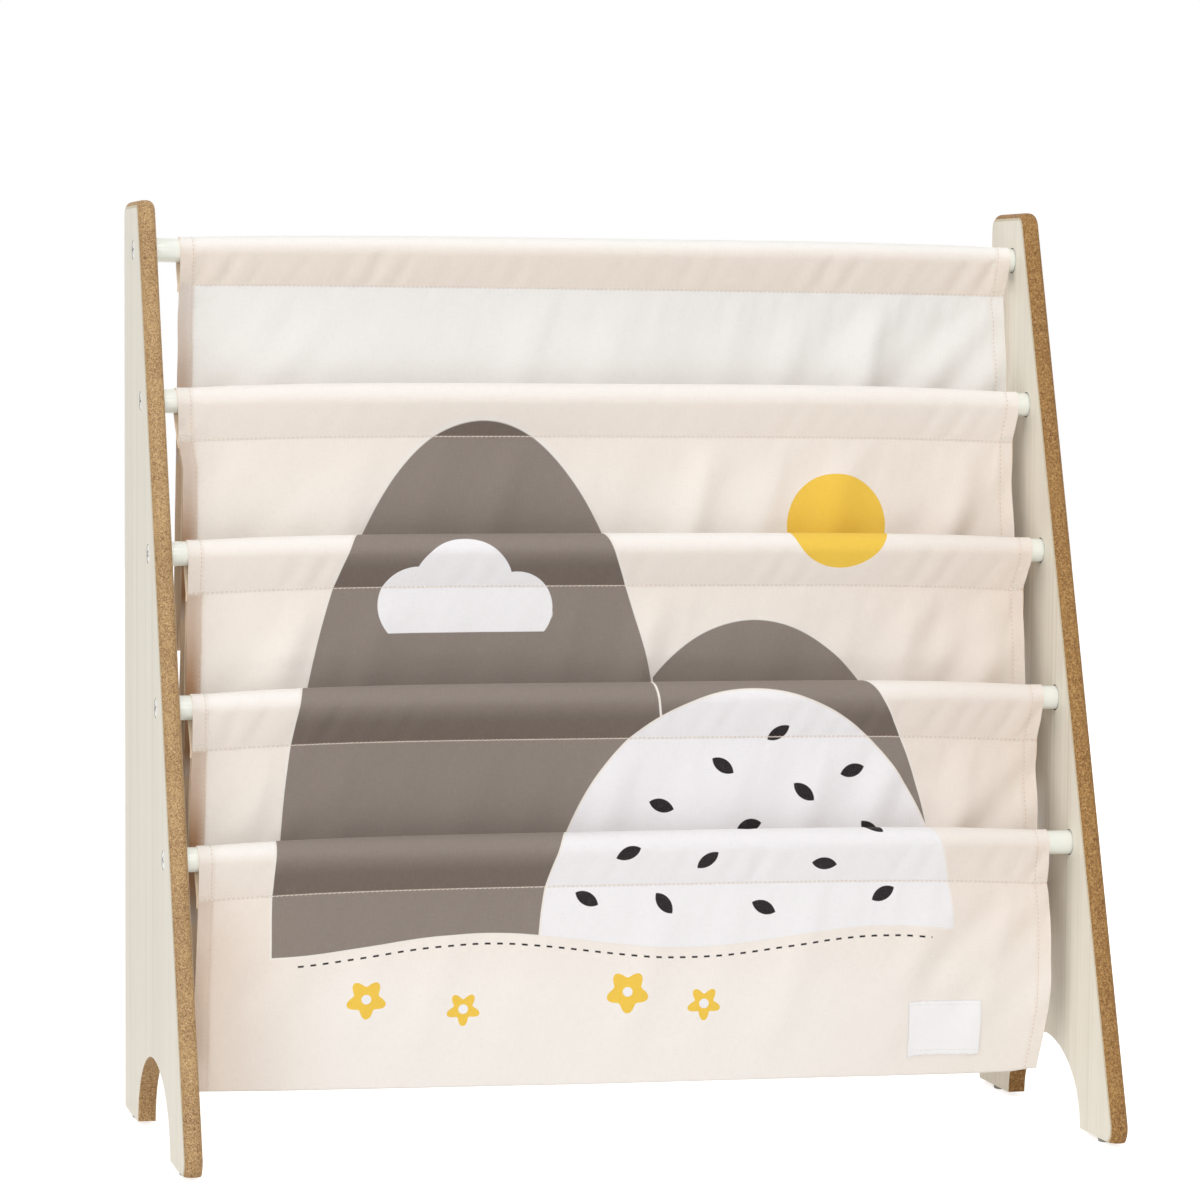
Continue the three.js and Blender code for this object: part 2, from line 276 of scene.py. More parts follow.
def capsules(middles, along, across, length, radius, sides=6):
    # one short thread stitch at each middle: a six-sided tube whose rings swell and close at both ends
    lengthwise = np.array([-0.5, -0.42, -0.2, 0.2, 0.42, 0.5]) * length
    swell = np.array([0.25, 0.8, 1.0, 1.0, 0.8, 0.25]) * radius
    lift = (1 - (2 * lengthwise / length) ** 2) * radius * 0.8
    ring = swell[:, None, None] * circle(sides)
    points = (middles[:, None, None] + along[:, None, None] * lengthwise[:, None, None]
              + across[:, None, None] * ring[..., :1]
              + np.cross(along, across)[:, None, None] * (ring[..., 1:] + lift[:, None, None]))
    rings = len(lengthwise)
    quads = gridFaces(rings, sides, True)[:, turnedOver]
    caps = np.arange(sides)[::-1], np.arange(sides) + (rings - 1) * sides
    first = (np.arange(len(middles)) * rings * sides)[:, None]
    tubes = (quads + first[..., None]).reshape(-1, 4)
    return points.reshape(-1, 3), [*tubes, *(caps[0] + first), *(caps[1] + first)]


def smoothStep(value, start, end):
    share = np.clip((value - start) / (end - start), 0, 1)
    return share * share * (3 - 2 * share)


# the camera stands where the photograph was taken from
camera = {
    "place": (-0.7234, -2.8850, 0.5292), "up": (0.0126, 0.0851, 0.9963), "back": (-0.2379, -0.9675, 0.0857),
    "lens": 135.33, "shiftY": 0.10, "sensor": 36, "farthest": 50,
}
lensData = bpy.data.cameras.new("camera")
lensData.lens, lensData.sensor_width, lensData.shift_y = camera["lens"], camera["sensor"], camera["shiftY"]
lensData.clip_end = camera["farthest"]
cameraObject = inScene("camera", lensData)
back = Vector(camera["back"]).normalized()
right = Vector(camera["up"]).cross(back).normalized()
up = back.cross(right)
cameraObject.matrix_world = Matrix.Translation(camera["place"]) @ Matrix((right, up, back)).transposed().to_4x4()
bpy.context.scene.camera = cameraObject
bpy.context.scene.view_settings.view_transform = "Standard"
print("camera set")


laminateLook = paints(pale=(246, 241, 228), dark=(225, 216, 197), pore=(190, 178, 152))


def laminateFinish():
    # printed wood grain: upright lines of uneven width on a pale ground, and short fine pores between them
    finish = Finish("laminate")
    place = finish.place()
    broad = finish.noise(place, (30, 75, 2.2), 2.0)
    lines = finish.noise(place, (90, 330, 1.6), 3.0, 0.55)
    fine = finish.noise(place, (300, 1200, 7), 3.0, 0.6)
    pores = finish.noise(place, (600, 2100, 26), 2.0, 0.6).step(0.60, 0.74)
    tone = (lines.step(0.50, 0.70) * 0.75 + broad.step(0.35, 0.75) * 0.35 + (fine - 0.5) * 0.35).clipped()
    color = finish.layered(laminateLook["pale"], (tone * 0.68, laminateLook["dark"]),
                           (pores * 0.28, laminateLook["pore"]))
    normal = finish.bump(fine * 0.6 - pores * 0.5, 0.00015, 0.4)
    return finish.surface(Base_Color=color, Roughness=0.42 + fine * 0.22, Normal=normal)


boardLook = {
    **paints(pale=(214, 180, 132), middle=(180, 144, 98), dark=(124, 90, 56), speck=(236, 208, 164),
             paper=(232, 224, 200)),
    # a painted shade for the right panel
    "rightShade": (0.74, 0.61, 0.39, 1),  # what the right panel's colours are multiplied by
    "paperDepth": 0.45,
}


def boardFinish():
    # pressed fibre: a pepper of light and dark chips, each with a tone of its own
    finish = Finish("fibreboard")
    place = finish.place()
    x = finish.parts(place)[0] * 1000
    chips = finish.chips(place, 1250)
    dust = finish.chips(finish.stretched(place, 1.2, 1, 0.8), 2300)
    grains = finish.noise(place, 1300, 2.0, 0.6)
    patches = finish.noise(place, 38, 3.0)
    specks = finish.noise(finish.stretched(place, 1, 1, 0.6), 1500, 2.0, 0.6).step(0.58, 0.70)
    coarse = finish.noise(place, 650, 2.0, 0.6)
    # the right panel has coarser chips, and its whole board is multiplied darker: a painted shade, as the light falls
    # from the left
    rightPanel = x.step(100, 101)
    color = finish.layered(
        boardLook["dark"],
        ((chips * 0.65 + dust * 0.35).step(0.05, 0.55), boardLook["middle"]),
        ((chips * 0.5 + dust * 0.5).step(0.55, 0.92) * 0.9, boardLook["pale"]),
        (patches.step(0.42, 0.70) * 0.15, boardLook["pale"]),
        (specks * 0.72, boardLook["speck"]),
        ((1 - patches).step(0.45, 0.72) * 0.14, boardLook["dark"]),
        (rightPanel * (1 - coarse.step(0.34, 0.47)) * 0.5, boardLook["dark"]),
        (rightPanel * coarse.step(0.53, 0.64) * 0.5, boardLook["speck"]),
    )
    color = finish.mix(rightPanel, color, boardLook["rightShade"], "MULTIPLY")
    # the laminate's own edge: a pale line beside either face
    depth = (innerFace - x.size()).size().lower((outerFace - x.size()).size())
    line = 1 - (depth + (grains - 0.5) * 0.35).step(boardLook["paperDepth"] * 0.5, boardLook["paperDepth"])
    color = finish.mix(line * 0.8, color, boardLook["paper"])
    normal = finish.bump(chips * 0.6 + grains * 0.6, 0.00022, 0.6)
    return finish.surface(Base_Color=color, Roughness=0.62 + grains * 0.25, Normal=normal)


def dimmed(color, share):
    return tuple(c * share for c in color[:3]) + (1.0,)


def paintFinish(name, color, roughness):
    # sprayed enamel: the faintest orange peel, and a little more or less gloss over the surface
    finish = Finish(name)
    place = finish.place()
    peel = finish.noise(place, 700, 2.0)
    cloud = finish.noise(place, 25, 3.0)
    return finish.surface(Base_Color=finish.mix(cloud * 0.35, color, dimmed(color, 0.93)),
                          Roughness=roughness + cloud * 0.12, Normal=finish.bump(peel, 0.00012, 0.35),
                          Coat_Weight=0.25 + cloud * 0.1, Coat_Roughness=0.12)


def plasticFinish(name, color, roughness):
    # moulded plastic: a fine grain and a cloud of slightly darker colour
    finish = Finish(name)
    place = finish.place()
    grain = finish.noise(place, 1400, 3.0)
    cloud = finish.noise(place, 90, 2.0)
    return finish.surface(Base_Color=finish.mix(cloud * 0.5, color, dimmed(color, 0.85)),
                          Roughness=roughness + grain * 0.15, Normal=finish.bump(grain, 0.0001, 0.5))


laminate, fibreboard = laminateFinish(), boardFinish()
rodPaint = paintFinish("rod paint", toLinear(243, 246, 239), 0.24)
screwPaint = paintFinish("screw paint", toLinear(250, 250, 247), 0.30)
plugPlastic = plasticFinish("plug plastic", toLinear(62, 62, 62), 0.5)
glidePlastic = plasticFinish("glide plastic", toLinear(150, 152, 146), 0.4)
# the walls of the rods' sockets and of the screws' holes: a dark brown that is painted shade
holeShade = plasticFinish("painted shade in the holes", toLinear(70, 58, 44), 0.9)
# the screws' cross recesses: a grey that is painted shade
recessShade = plasticFinish("painted shade in the recess", toLinear(112, 108, 100), 0.6)


panel = {
    "edgeRound": 5, "cornerRound": 11, "toeRound": 14, "heelRound": 7, "footDepth": 67, "archHeight": 54,
    "socketRadius": 8.6, "socketDepth": 4, "holeMouth": 1.1, "holeDepth": 4.6, "pilotRadius": 2.8,
    "roundSteps": 9, "cornerSteps": 11, "lineSteps": 26, "holeSteps": 48, "archSteps": 49,
}
slopeAngle = np.arctan(slope)
backEdge = (rack["panelDepth"] - slope * (panel["toeRound"] - panel["edgeRound"])
            - panel["toeRound"] * (1 / np.cos(slopeAngle) - 1)) / 2


def frontEdgeAt(z):
    return backEdge - rack["panelDepth"] + slope * z


rodHeight = rack["rodShares"] * rack["panelHeight"]
rodPlaces = np.stack([frontEdgeAt(rodHeight) + rack["rodSetback"], rodHeight + rack["glideHeight"]], axis=-1)


def panelOutline(inset):
    # the panel's outline from the heel up the back, over the top and down the front to the toe, moved in by
    # inset: arcs about four fixed centres, clipped at the feet's plane
    top, low = rack["panelHeight"], -panel["edgeRound"]
    lean = np.pi - slopeAngle
    heel, corner, toe = panel["heelRound"], panel["cornerRound"], panel["toeRound"]
    centres = [
        (backEdge - heel, low + heel, heel, None, 0.0),
        (backEdge - corner, top - corner, corner, 0.0, np.pi / 2),
        (frontEdgeAt(top - corner) + corner / np.cos(slopeAngle), top - corner, corner, np.pi / 2, lean),
        (frontEdgeAt(low + toe) + toe / np.cos(slopeAngle), low + toe, toe, lean, None),
    ]
    runs = []
    for y, z, radius, start, end in centres:
        radius = radius - inset
        dip = np.arcsin(min(1.0, z / radius)) if None in (start, end) else 0
        start = -dip if start is None else start
        end = np.pi + dip if end is None else end
        turn = np.linspace(start, end, panel["cornerSteps"])
        arc = np.stack([y + radius * np.cos(turn), z + radius * np.sin(turn)], axis=-1)
        if runs:
            share = np.linspace(0, 1, panel["lineSteps"])[1:-1, None]
            runs.append(runs[-1][-1] * (1 - share) + arc[0] * share)
        runs.append(arc)
    return np.concatenate(runs)


def addPanel(side, sign):
    edge = panel["edgeRound"]
    turn = np.linspace(0, np.pi / 2, panel["roundSteps"])
    inset, depth = edge * (1 - np.sin(turn)), innerFace + edge * (1 - np.cos(turn))
    depths = np.concatenate([depth, outerFace + innerFace - depth[::-1]])
    outlines = np.stack([panelOutline(i) for i in (*inset, *inset[::-1])])
    rim = np.concatenate([np.repeat(depths[:, None, None], outlines.shape[1], 1), outlines], axis=-1)

    archHalf = rack["panelDepth"] / 2 - panel["footDepth"]
    archMiddle = backEdge - panel["footDepth"] - archHalf
    turn = np.linspace(np.pi, 0, panel["archSteps"])
    arch = np.stack([archMiddle + archHalf * np.cos(turn), panel["archHeight"] * np.sin(turn)], axis=-1)
    arch[[0, -1], 1] = 0
    strip = np.stack([np.c_[np.full(len(arch), x), arch] for x in (innerFace, outerFace)])
    shell = Shell((rim.reshape(-1, 3), gridFaces(*rim.shape[:2]), 1),
                  (strip.reshape(-1, 3), gridFaces(2, len(arch)), 1))
    for end, archEnd in ((0, -1), (-1, 0)):
        foot = np.concatenate([rim[:, end], strip[::-1, archEnd]])
        shell.put(foot, [range(len(foot))], 1)

    # both faces, with a hole for each rod and each screw, and the walls of these holes, painted dark as the shade
    # inside them
    middles = rodPlaces - [0, rack["glideHeight"]]
    socket, hole = panel["socketRadius"], screw["hole"]
    for x, row, radius in ((innerFace, 0, socket), (outerFace, -1, hole)):
        holes = [middle + radius * circle(panel["holeSteps"]) for middle in middles]
        points, faces = filled([np.concatenate([rim[row, :, 1:], arch]), *holes])
        shell.put(np.c_[np.full(len(points), x), points], faces, 0)
    socketEnd, holeEnd = innerFace + panel["socketDepth"], outerFace - panel["holeDepth"]
    for y, z in middles:
        for profile in ([(socket, innerFace), (socket, socketEnd), (0, socketEnd)],
                        [(hole, outerFace), (hole, outerFace - panel["holeMouth"]), (panel["pilotRadius"], holeEnd),
                         (0, holeEnd)]):
            shell.put(*turned(profile, panel["holeSteps"], y, z), 2)
    vertices = (shell.points + [0, 0, rack["glideHeight"]]) * [sign, 1, 1]
    piece = addPiece(f"{side}_panel_board", vertices, shell.faces, [laminate, fibreboard, holeShade], "side_panel",
                     shell.kinds, [f"{side}_side_panel"], merge=True, sharp=32)
    piece.modifiers.new("even shading", "WEIGHTED_NORMAL").keep_sharp = True


screw = {
    "radius": 6, "hole": 6.25, "sink": 0.1, "dome": 0.35, "lid": 4.3, "rim": 0.6, "length": 26, "shank": 2.5,
    "crossSpan": 6.0, "crossWidth": 1.3, "crossDepth": 2.4, "crossTaper": 0.72,
    "crossTurn": (20, 65, 40, 10, 75), "sides": 40,
}


def addScrew(side, sign, k):
    face, radius = outerFace - screw["sink"], screw["radius"]
    half, wide, tip = screw["crossSpan"] / 2, screw["crossWidth"] / 2, face - screw["length"]

    def domeAt(r):
        # the head is slightly domed: lower at the rim by the square of the radius
        return face - 0.05 + screw["dome"] * (1 - (r / radius) ** 2)

    def domed(points):
        return np.c_[domeAt(np.hypot(*points.T)), points]

    profile = [(0, tip), (screw["shank"] - 1, tip), (screw["shank"], tip + 1),
               (screw["shank"], face - screw["rim"] - radius + screw["shank"]), (radius, face - screw["rim"]),
               (radius, face - 0.35), (radius - 0.1, face - 0.1),
               *[(r, domeAt(r)) for r in (radius - 0.25, radius - 0.8, screw["lid"])]]
    cross = np.array([(half, -wide), (half, wide), (wide, wide), (wide, half), (-wide, half), (-wide, wide),
                      (-half, wide), (-half, -wide), (-wide, -wide), (-wide, -half), (wide, -half), (wide, -wide)])
    angle = np.radians(screw["crossTurn"][k])
    cross = cross @ np.array([[np.cos(angle), np.sin(angle)], [-np.sin(angle), np.cos(angle)]])
    lid, lidFaces = filled([screw["lid"] * circle(screw["sides"]), cross[::-1]])
    corners = len(cross)
    recess = np.concatenate([domed(cross), np.c_[np.full(corners, face - screw["crossDepth"]),
                                                 cross * screw["crossTaper"]]])
    recessFaces = [*gridFaces(2, corners, True)[:, turnedOver], range(corners, 2 * corners)]
    shell = Shell(turned(profile, screw["sides"]), (domed(lid), lidFaces), (recess, recessFaces, 1))
    addPiece(f"{side}_screw_{k + 1}_head", shell.points * [sign, 1, 1] + [0, *rodPlaces[k]], shell.faces,
             [screwPaint, recessShade], "screw", shell.kinds, [f"{side}_screw_{k + 1}"], merge=True, sharp=30)


rod = {"radius": 8, "wall": 1.2, "reach": 302.7, "sides": 48}


def addRod(k):
    reach, radius, bore = rod["reach"], rod["radius"], rod["radius"] - rod["wall"]
    # the wall's end from the bore outwards, with a small round at the rim, and the same at the other end
    end = [(bore, -reach), (radius - 0.3, -reach), (radius - 0.08, -reach + 0.1), (radius, -reach + 0.3)]
    profile = [*end, *[(radius, x) for x in np.linspace(-reach + 20, reach - 20, 13)],
               *[(r, -x) for r, x in end[::-1]], end[0]]
    addPiece(f"rod_{k + 1}_tube", *turned(profile, rod["sides"], *rodPlaces[k]), [rodPaint], "rod",
             replaces=[f"rod_{k + 1}"], merge=True, sharp=40)


glide = {"radius": 5, "round": 0.8, "buttonTop": 2.7, "pin": 1.5, "pinLength": 12, "sides": 40}


def addGlide(side, sign, foot):
    half = panel["footDepth"] / 2
    y = backEdge - half if foot == "back" else backEdge - rack["panelDepth"] + half
    turn, edge, top = np.linspace(-np.pi / 2, 0, 6), glide["round"], glide["buttonTop"]
    low = [(glide["radius"] - edge + edge * np.cos(t), edge + edge * np.sin(t)) for t in turn]
    high = [(glide["radius"] - edge + edge * np.cos(t), top - edge + edge * np.sin(t)) for t in turn + np.pi / 2]
    tip = rack["glideHeight"] + glide["pinLength"]
    profile = [(0, 0), *low, *high, (glide["pin"], top), (glide["pin"], tip), (0, tip)]
    points, faces = turned(profile, glide["sides"])
    middle = innerFace + rack["panelThickness"] / 2
    points = np.stack([points[:, 1] + sign * middle, points[:, 2] + y, points[:, 0]], axis=-1)
    addPiece(f"{side}_{foot}_glide_button", points, faces, [glidePlastic], "glide",
             replaces=[f"{side}_{foot}_glide"], merge=True, sharp=40)


for side, sign in (("left", -1), ("right", 1)):
    addPanel(side, sign)
    for k in range(5):
        addScrew(side, sign, k)
        plug = bpy.data.objects[f"{side}_plug_{k + 1}"]
        plug.data.materials.clear()
        plug.data.materials.append(plugPlastic)
    for foot in ("back", "front"):
        addGlide(side, sign, foot)
for k in range(5):
    addRod(k)
print("frame of the rack made")


cloth = {
    "width": 576, "thickness": 0.8, "hemWidth": 10, "hemStep": 0.55, "hemInset": 8.7, "innerRadius": 8.0,
    "pocketDrop": 164, "pocketBend": 60, "parting": 3.0, "foldDepth": 2.6, "foldRise": 60,
    "frontLean": 6.0, "belly": 3.0, "allowance": 5.0, "sewnStep": 0.8, "columnStep": 3.2,
    "clearance": 0.1, "liftShare": 0.7, "crestRows": (36, 50),
    "layer": 0.5,  # how far each of a seam's two layers lies from the seam's middle
    "rows": (4, 12, 30, 13),  # points of the sewn end, behind the rod, over it, and down its front
    "backRows": 20, "easeRows": (40, 12),
}
# Each length of canvas, lowest first. Edge tables: drop below the rod's axis and where the side edge lies along X.
# rise: how far the sleeve's top and its seam stand higher at mid span. seam: its drop at the left and right ends.
canvases = [
    {"leftEdge": [(-12, -289.6), (25, -288.5), (58, -289.9), (90, -291.1), (150, -290.5)],
     "rightEdge": [(-12, 282.2), (8, 282.6), (27, 283.5), (50, 286.6), (89, 287.2), (112, 286.2), (130, 284.0),
                   (152, 280.6)],
     "rise": (4.2, 4.6), "seam": (26.5, 27.2), "folds": 2.5, "phase": 0.1, "gathers": (0.6, 0.5, 1.2),
     "soft": (0.3, 0.3, 0.5),
     "puckers": [(-290, 0.7), (-200, 0.45), (-60, 0.3), (90, 0.9), (150, 0.4), (230, 0.8), (290, 1.3)]},
    {"leftEdge": [(-12, -288.7), (27, -287.6), (50, -288.6), (89, -289.9), (250, -290)],
     "rightEdge": [(-12, 288.9), (8, 288.1), (28, 286.0), (50, 286.6), (89, 287.2), (250, 288)],
     "rise": (4.6, 4.6), "seam": (27.6, 28.7), "folds": 3.0, "phase": 0.35, "gathers": (0.8, 0.5, 1.3),
     "soft": (0.3, 0.5, 1.1),
     "puckers": [(-290, 1.2), (-190, 1.0), (-100, 0.4), (30, 0.5), (150, 0.8), (290, 1.1)]},
    {"leftEdge": [(-12, -286.2), (26, -285.4), (45, -286.1), (89, -287.2), (250, -289)],
     "rightEdge": [(-12, 291.0), (8, 290.0), (26, 286.4), (50, 287.4), (89, 288.6), (250, 289)],
     "rise": (3.6, 4.0), "seam": (26.0, 26.6), "folds": 2.0, "phase": 0.6, "gathers": (0.8, 0.4, 1.1),
     "soft": (0.4, 0.5, 1.0),
     "puckers": [(-290, 1.0), (-170, 0.5), (0, 0.3), (170, 0.7), (290, 1.0)]},
    {"leftEdge": [(-12, -288.5), (26, -286.2), (45, -283.2), (89, -284.0), (250, -287)],
     "rightEdge": [(-12, 291.2), (8, 290.6), (25, 288.8), (50, 289.6), (89, 290.6), (250, 290)],
     "rise": (4.0, 3.3), "seam": (25.9, 25.5), "folds": 2.5, "phase": 0.2, "gathers": (0.6, 0.5, 1.0),
     "soft": (0.3, 0.9, 1.1),
     "puckers": [(-290, 1.1), (-250, 0.4), (0, 0.25), (200, 0.4), (260, 0.9), (290, 1.1)]},
    {"leftEdge": [(-12, -281.0), (22, -280.5), (42, -281.4), (89, -282.1), (250, -285)],
     "rightEdge": [(-12, 295.4), (8, 294.2), (24, 293.2), (30, 292.8), (51, 294.6), (87, 296.4), (250, 292)],
     "rise": (2.6, 0.9), "seam": (22.5, 24.3), "folds": 3.0, "phase": 0.8, "gathers": (0.9, 0.7, 1.8),
     "soft": (0.12, 0.6, 1.25),
     "puckers": [(-290, 1.3), (-90, 1.2), (-40, 0.35), (20, 0.9), (45, 0.35), (110, 1.1), (290, 1.6)]},
]
bottomHeight = [(-290, 41.0), (-238, 39.8), (-145, 38.8), (-28, 37.6), (91, 37.1), (239, 36.4), (270, 36.8),
                (284, 38.6)]  # of the front panel's lower edge along X


# Each kind of fold: its wave lengths in mm, how far it leans over for each millimetre down, and its seed. The soft
# folds hang from a seam, the small ones are its gathers, the pulled ones run to the hems and puckers cross a sleeve.
folds = {"soft": ((83, 61, 47), 0.30, 20), "small": ((8, 13, 19, 27), 0.25, 40), "pulled": ((38, 57), 0.9, 90),
         "pucker": ((16.5, 19.5, 24), 0.42, 60), "finePucker": ((9, 12), 0.7, 70)}


def waves(place, lengths, seed):
    # a soft random line: sines of the given lengths with drawn phases, about 1 high
    phases = np.random.default_rng(seed).uniform(0, 2 * np.pi, len(lengths))
    parts = [np.sin(2 * np.pi * place / length + phase) for length, phase in zip(lengths, phases)]
    return sum(parts) / np.sqrt(len(lengths))


def foldWave(kind, k, x, depth):
    lengths, lean, seed = folds[kind]
    return waves(x + lean * depth, lengths, seed + k)


def between(table, place):
    keys, values = np.array(table, float).T
    return np.interp(place, keys, values)


def acrossShare():
    # places across the cloth from 0 to 1, close together at both hems' inner edges
    width, step = cloth["width"], cloth["columnStep"]
    ends = np.array([0, 0.4, 1.2, 3.5, 6.2, 8.4, 9.4, 9.9, 10.2, 10.7, 11.8, 14.0])
    inner = np.linspace(ends[-1] + step, width - ends[-1] - step, int((width - 2 * ends[-1]) / step))
    return np.concatenate([ends, inner, (width - ends)[::-1]]) / width


def span(x):
    # 0 at the hems, 1 at mid span: how far slack cloth may stand off its rod
    return 1 - np.clip(np.abs(x - 0.5) / 0.482, 0, 1) ** 4


def foldAt(k, x, depth):
    # broad folds that both layers under seam k share, growing with depth below the seam, and the small gathers
    # that the stitching pulls into the cloth just under it
    c = canvases[k]
    broad = np.sin(2 * np.pi * (c["folds"] * x / cloth["width"] + c["phase"]) + depth * 0.006)
    left, middle, right = c["gathers"]
    local = np.interp(x, [-290, -200, 0, 190, 290], [left, left * 0.6, middle, right * 0.9, right])
    # valleys are narrower than crests, as in cloth that a seam pulls on
    soft = foldWave("soft", k, x, depth)
    left, middle, right = c["soft"]
    soft = np.interp(x, [-290, -120, 60, 290], [left, left, middle, right]) * (soft + 0.5 - 0.45 * soft ** 2)
    small = foldWave("small", k, x, depth) * 0.32 * local
    small = small * smoothStep(depth, -2, 7) * (1 - 0.8 * smoothStep(depth, 12, 60))
    pulled = 0.9 * local * foldWave("pulled", k, x, depth) * smoothStep(np.abs(x), 90, 260)
    pulled = pulled * smoothStep(depth, 0, 25) * (1 - smoothStep(depth, 60, 130))
    growing = smoothStep(depth, 0, cloth["foldRise"]) * broad * (0.45 if k else 0.2)
    return cloth["foldDepth"] * (growing + smoothStep(depth, 0, 30) * soft * 0.9) + small + pulled


def spaced(*runs):
    # places down the cloth: each run is its start, its end and its count, with the start itself left out
    return np.concatenate([np.linspace(*run)[1:] for run in runs])[:, None]


def clothPath(k):
    # The middle surface of canvas k as a grid: rows run from its sewn end behind the rod, up and over the rod,
    # down in front of it to the seam, and on down the wall; columns run from left to right.
    c = canvases[k]
    y0, z0 = rodPlaces[k]
    share = acrossShare()[None, :]
    rough = (share - 0.5) * cloth["width"]
    bow = span(share)
    topRise, seamRise = c["rise"][0] * bow, c["rise"][1] * bow
    drop = c["seam"][0] * (1 - share) + c["seam"][1] * share - seamRise
    # slack widens the loop over the rod a little and lifts it more
    radius = cloth["innerRadius"] + cloth["thickness"] / 2 + cloth["clearance"] + (1 - cloth["liftShare"]) * topRise
    lift, layer = cloth["liftShare"] * topRise, cloth["layer"]
    reach = np.hypot(layer, drop + lift)
    start = np.arccos(radius / reach) - np.arccos(layer / reach)
    leaveY, leaveZ = radius * np.cos(start), lift + radius * np.sin(start)
    sewn, behind, over, front = cloth["rows"]
    end = np.linspace(cloth["allowance"], cloth["sewnStep"], sewn)[:, None]
    rise = np.linspace(0, 1, behind)[:-1, None]
    angle = start + (np.pi - 2 * start) * np.linspace(0, 1, over)[:, None]
    fall = spaced((0, 1, front))
    sleeve = [(layer, -(drop + end)),
              (layer * (1 - rise) + leaveY * rise, -drop * (1 - rise) + leaveZ * rise),
              (radius * np.cos(angle), lift + radius * np.sin(angle)),
              (-leaveY * (1 - fall) - layer * fall, leaveZ * (1 - fall) - drop * fall)]
    ys = [np.broadcast_to(y, z.shape) + y0 for y, z in sleeve]
    zs = [z + z0 for y, z in sleeve]
    sleeveRows = sum(len(z) for z in zs)
    seamZ = z0 - drop

    if k == 0:
        turnHigh, turnDeep = 1.6, 1.1  # half the size of the roll at the front panel's lower edge
        down = spaced((0, 0.07, 6), (0.07, 0.96, 44), (0.96, 1, 5))
        z = seamZ + (between(bottomHeight, rough) + turnHigh - seamZ) * down
        # small puckers beside the patch, where its stitches pull
        pull = 0.7 * np.sin(2 * np.pi * rough / 7.5) * np.exp(-((z - 91) / 5) ** 2)
        pull = pull * smoothStep(rough, 190, 196) * (1 - smoothStep(rough, 214, 222))
        y = y0 - layer + cloth["frontLean"] * down ** 2 - cloth["belly"] * np.sin(np.pi * down)
        y = y + foldAt(0, rough, seamZ - z) * (1 - down ** 4) + pull
        roll, inside = spaced((0, np.pi, 9)), spaced((0, 9, 5))
        rolled = y[-1:] + turnDeep * (1 - np.cos(roll))
        ys += [y, rolled, rolled[-1:] - 0.03 * inside]
        zs += [z, z[-1:] - turnHigh * np.sin(roll), z[-1:] + inside]
    else:
        lowY, lowZ = rodPlaces[k - 1]
        lower, bend = canvases[k - 1], cloth["pocketBend"]
        if k == 1:
            floor, foot = between(bottomHeight, rough) + 1.2, lowY + cloth["frontLean"] + 2.9
        else:
            floor, foot = lowZ - cloth["pocketDrop"] + 1.5 * np.sin(rough / 70 + k), (lowY + y0) / 2
        z = seamZ + (floor + bend - seamZ) * spaced((0, 0.05, 5), (0.05, 1, 40))
        depth = seamZ - z
        y = y0 - layer - cloth["parting"] * smoothStep(depth, 0, 60) + foldAt(k, rough, depth)
        if k == 2:
            # the crease that a packed fold left across this length
            crease = np.exp(-((depth - 46 - 0.012 * rough) / 2.6) ** 2)
            y = y - 0.7 * crease * (0.6 + 0.4 * waves(rough, (90, 140), 7))
        ys.append(y)
        zs.append(z)
        if k == 1:
            turn = spaced((0, 1, 20))
            ys.append(foot + (y[-1:] - foot) * np.cos(np.pi / 2 * turn))
            zs.append(floor + bend * (1 - turn))
        else:
            # round the pocket's bottom and up its front wall to the lower rod's seam
            lowSeam = lowZ - (lower["seam"][0] * (1 - share) + lower["seam"][1] * share) + lower["rise"][1] * bow
            frontWall = lowY + 1.5
            frontY = frontWall + foldAt(k - 1, rough, lowSeam - floor - bend)
            turn = spaced((0, np.pi, 34))[:-1]
            rise = np.linspace(0, 1, 22)[:, None]
            z = (floor + bend) * (1 - rise) + (lowSeam + 3) * rise
            ys += [foot + np.where(turn < np.pi / 2, y[-1:] - foot, foot - frontY) * np.cos(turn),
                   frontWall + foldAt(k - 1, rough, lowSeam - z)]
            zs += [floor + bend - bend * np.sin(turn), z]
    y, z = np.concatenate(ys), np.concatenate(zs)
    rows = np.arange(len(z))[:, None]

    # side edges: by drop below the rod in front, easing to the lower sleeve's edges on the pocket's front wall
    dropHere = z0 - z
    left, right = between(c["leftEdge"], dropHere), between(c["rightEdge"], dropHere)
    if k > 0:
        first, last = cloth["easeRows"]
        eased = smoothStep(rows, sleeveRows + first, len(z) - last)
        seamDrop = np.clip(lowZ - z, 20, 90 if k > 1 else 150)
        tuckLeft, tuckRight = (-0.5, 1.0) if k > 1 else (1.5, -2.5)
        left = left * (1 - eased) + (between(lower["leftEdge"], seamDrop) + tuckLeft) * eased
        right = right * (1 - eased) + (between(lower["rightEdge"], seamDrop) + tuckRight) * eased
    left = left - (rows < cloth["backRows"])
    grid = np.stack([left + (right - left) * share, y, z], axis=-1)

    # diagonal puckers that the seam pulls into the front of the sleeve, leaning to the right as they rise
    onFront = smoothStep(rows, *cloth["crestRows"]) * (1 - 0.85 * smoothStep(rows, sleeveRows - 5, sleeveRows))
    onFront = onFront * (rows < sleeveRows)
    onBack = smoothStep(rows, 3, 8) * (1 - smoothStep(rows, 12, cloth["backRows"]))
    pull = foldWave("pucker", k, rough, dropHere) + 0.25 * foldWave("finePucker", k, rough, dropHere)
    pull = pull + 0.7 - 0.25 * pull ** 2
    grid[..., 1] -= 0.55 * between(c["puckers"], rough) * pull * (onFront - onBack)
    return grid, sleeveRows


def unit(vectors):
    return vectors / np.linalg.norm(vectors, axis=-1, keepdims=True)


def outward(grid):
    # the side that faces out from the rod over the top: down the rows crossed with along the columns
    return -unit(np.cross(np.gradient(grid, axis=1), np.gradient(grid, axis=0)))


